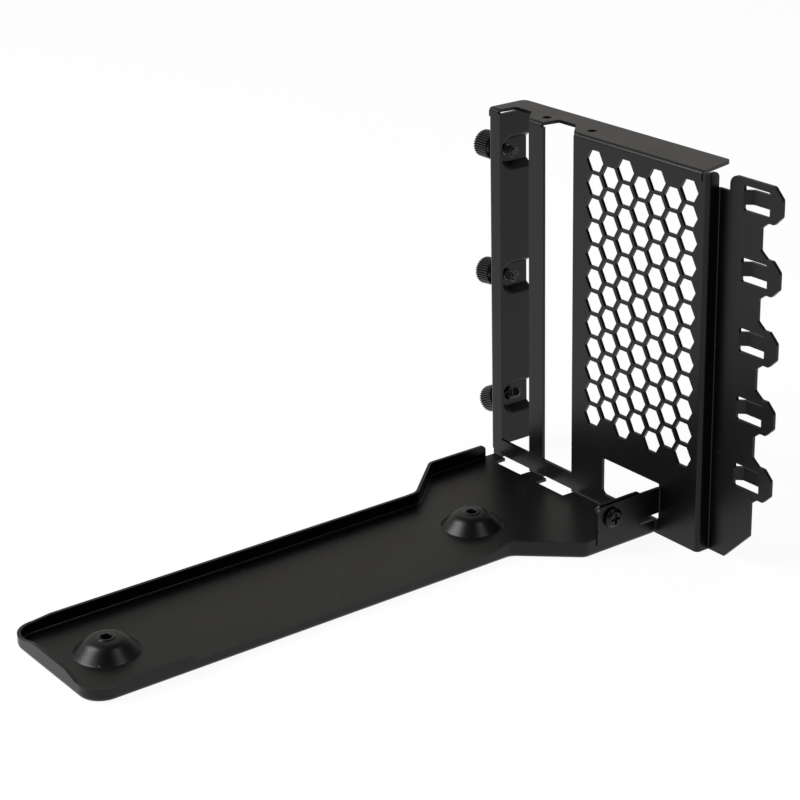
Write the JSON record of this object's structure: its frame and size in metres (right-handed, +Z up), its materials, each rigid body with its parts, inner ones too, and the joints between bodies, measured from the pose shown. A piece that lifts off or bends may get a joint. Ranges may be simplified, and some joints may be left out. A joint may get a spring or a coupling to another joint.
{
  "type": "vertical graphics card mount",
  "caption": "Black folded-steel mount that stands cards upright: slotted, vented frame with a hooked edge and thumbscrews, and a flat riser tray.",
  "frame": {"origin": "middle of the underside of the whole mount's bounding box", "axes": "+X from the thumbscrews to the hooks, +Y from the tray's free end to the slotted frame, +Z up"},
  "size_m": [0.1326, 0.1978, 0.114],
  "materials": {
    "powder_coat": "fine-textured matt black powder coat",
    "black_screw": "satin black plated steel"
  },
  "bodies": {
    "mount": {"slot_frame": "powder_coat", "riser_tray": "powder_coat", "tray_screw": "black_screw"},
    "top_screw": {"thumbscrew_top": "black_screw"},
    "middle_screw": {"thumbscrew_middle": "black_screw"},
    "bottom_screw": {"thumbscrew_bottom": "black_screw"}
  },
  "joints": [
    {"name": "top_screw_turn", "type": "hinge", "parent": "mount", "child": "top_screw", "pos_m": [-0.05475, 0.09155, 0.0984], "axis": [1, 0, 0], "continuous": true},
    {"name": "middle_screw_turn", "type": "hinge", "parent": "mount", "child": "middle_screw", "pos_m": [-0.05475, 0.09155, 0.05776], "axis": [0.9945, 0, 0.1045], "continuous": true},
    {"name": "bottom_screw_turn", "type": "hinge", "parent": "mount", "child": "bottom_screw", "pos_m": [-0.05475, 0.09155, 0.01712], "axis": [0.8988, 0, 0.4384], "continuous": true}
  ]
}
